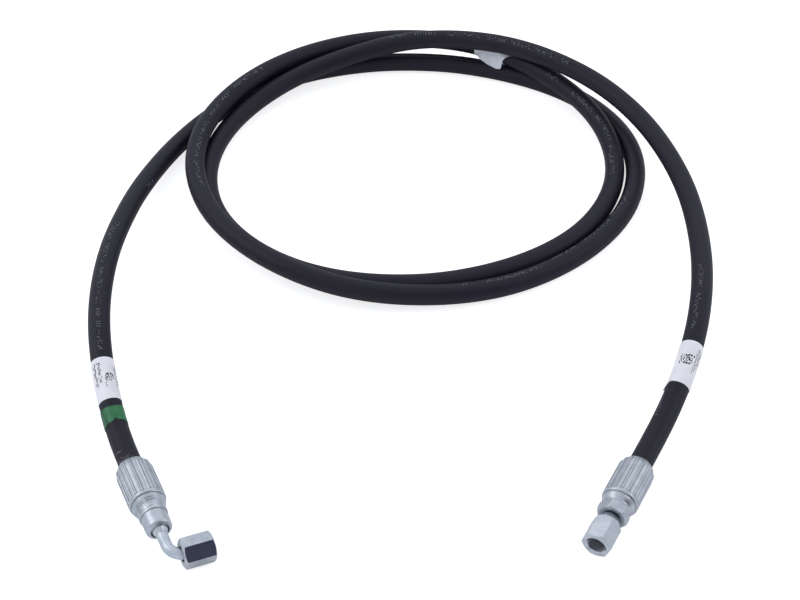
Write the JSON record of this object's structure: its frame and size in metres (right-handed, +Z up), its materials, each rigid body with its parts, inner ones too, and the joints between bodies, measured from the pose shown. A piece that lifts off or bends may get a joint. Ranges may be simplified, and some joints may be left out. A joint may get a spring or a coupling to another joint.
{
  "type": "hydraulic hose assembly",
  "caption": "Hydraulic hose in loose overlapping loops, with a crimped swivel elbow on one end, a crimped straight swivel nut on the other, and wrapped labels.",
  "frame": {"origin": "centre of the bounding box's footprint, on the table plane the loops and both ferrules rest on", "axes": "+Z up from the table; +X towards the straight fitting's side; +Y from the fittings towards the far side of the loops, so both fittings point to -Y"},
  "size_m": [0.3909, 0.5084, 0.0406],
  "materials": {
    "inner_rubber": "matte",
    "braid_wire": "satin",
    "cover_rubber": "satin",
    "green_tape": "satin",
    "white_label": "satin",
    "zinc_steel": "satin",
    "braze": "satin"
  },
  "bodies": {
    "hose": {"hose_inner_tube": "inner_rubber", "hose_wire_braid": "braid_wire", "hose_cover": "cover_rubber", "middle_label": "white_label"},
    "elbow_end": {"elbow_ferrule": "zinc_steel", "elbow_stem": "zinc_steel", "elbow_tube": "zinc_steel", "elbow_braze_ring": "braze", "left_label": "white_label", "green_band": "green_tape"},
    "elbow_sleeve": {"elbow_flare_sleeve": "zinc_steel"},
    "elbow_nut": {"elbow_nut": "zinc_steel"},
    "straight_end": {"straight_ferrule": "zinc_steel", "straight_stem": "zinc_steel", "right_label": "white_label"},
    "straight_nut": {"straight_nut": "zinc_steel"}
  },
  "joints": [
    {"name": "elbow_swing", "type": "hinge", "parent": "hose", "child": "elbow_end", "pos_m": [-0.1883, -0.04871, 0.02791], "axis": [0, 0, 1], "range_deg": [-30, 30], "stiffness_Nm_per_rad": 1.5, "deforming": ["hose_inner_tube", "hose_wire_braid", "hose_cover"]},
    {"name": "elbow_sleeve_slide", "type": "slide", "parent": "elbow_end", "child": "elbow_sleeve", "axis": [0.903, 0.42, -0.0906], "range_m": [0, 0.002]},
    {"name": "elbow_nut_spin", "type": "hinge", "parent": "elbow_sleeve", "child": "elbow_nut", "pos_m": [-0.1116, -0.24329, 0.00927], "axis": [0.903, 0.42, -0.0906], "continuous": true},
    {"name": "straight_swing", "type": "hinge", "parent": "hose", "child": "straight_end", "pos_m": [0.18231, -0.05416, 0.02861], "axis": [0, 0, 1], "range_deg": [-30, 30], "stiffness_Nm_per_rad": 1.5, "deforming": ["hose_inner_tube", "hose_wire_braid", "hose_cover"]},
    {"name": "straight_nut_spin", "type": "hinge", "parent": "straight_end", "child": "straight_nut", "pos_m": [0.10482, -0.2329, 0.01055], "axis": [-0.4668, -0.8843, 0], "continuous": true}
  ]
}
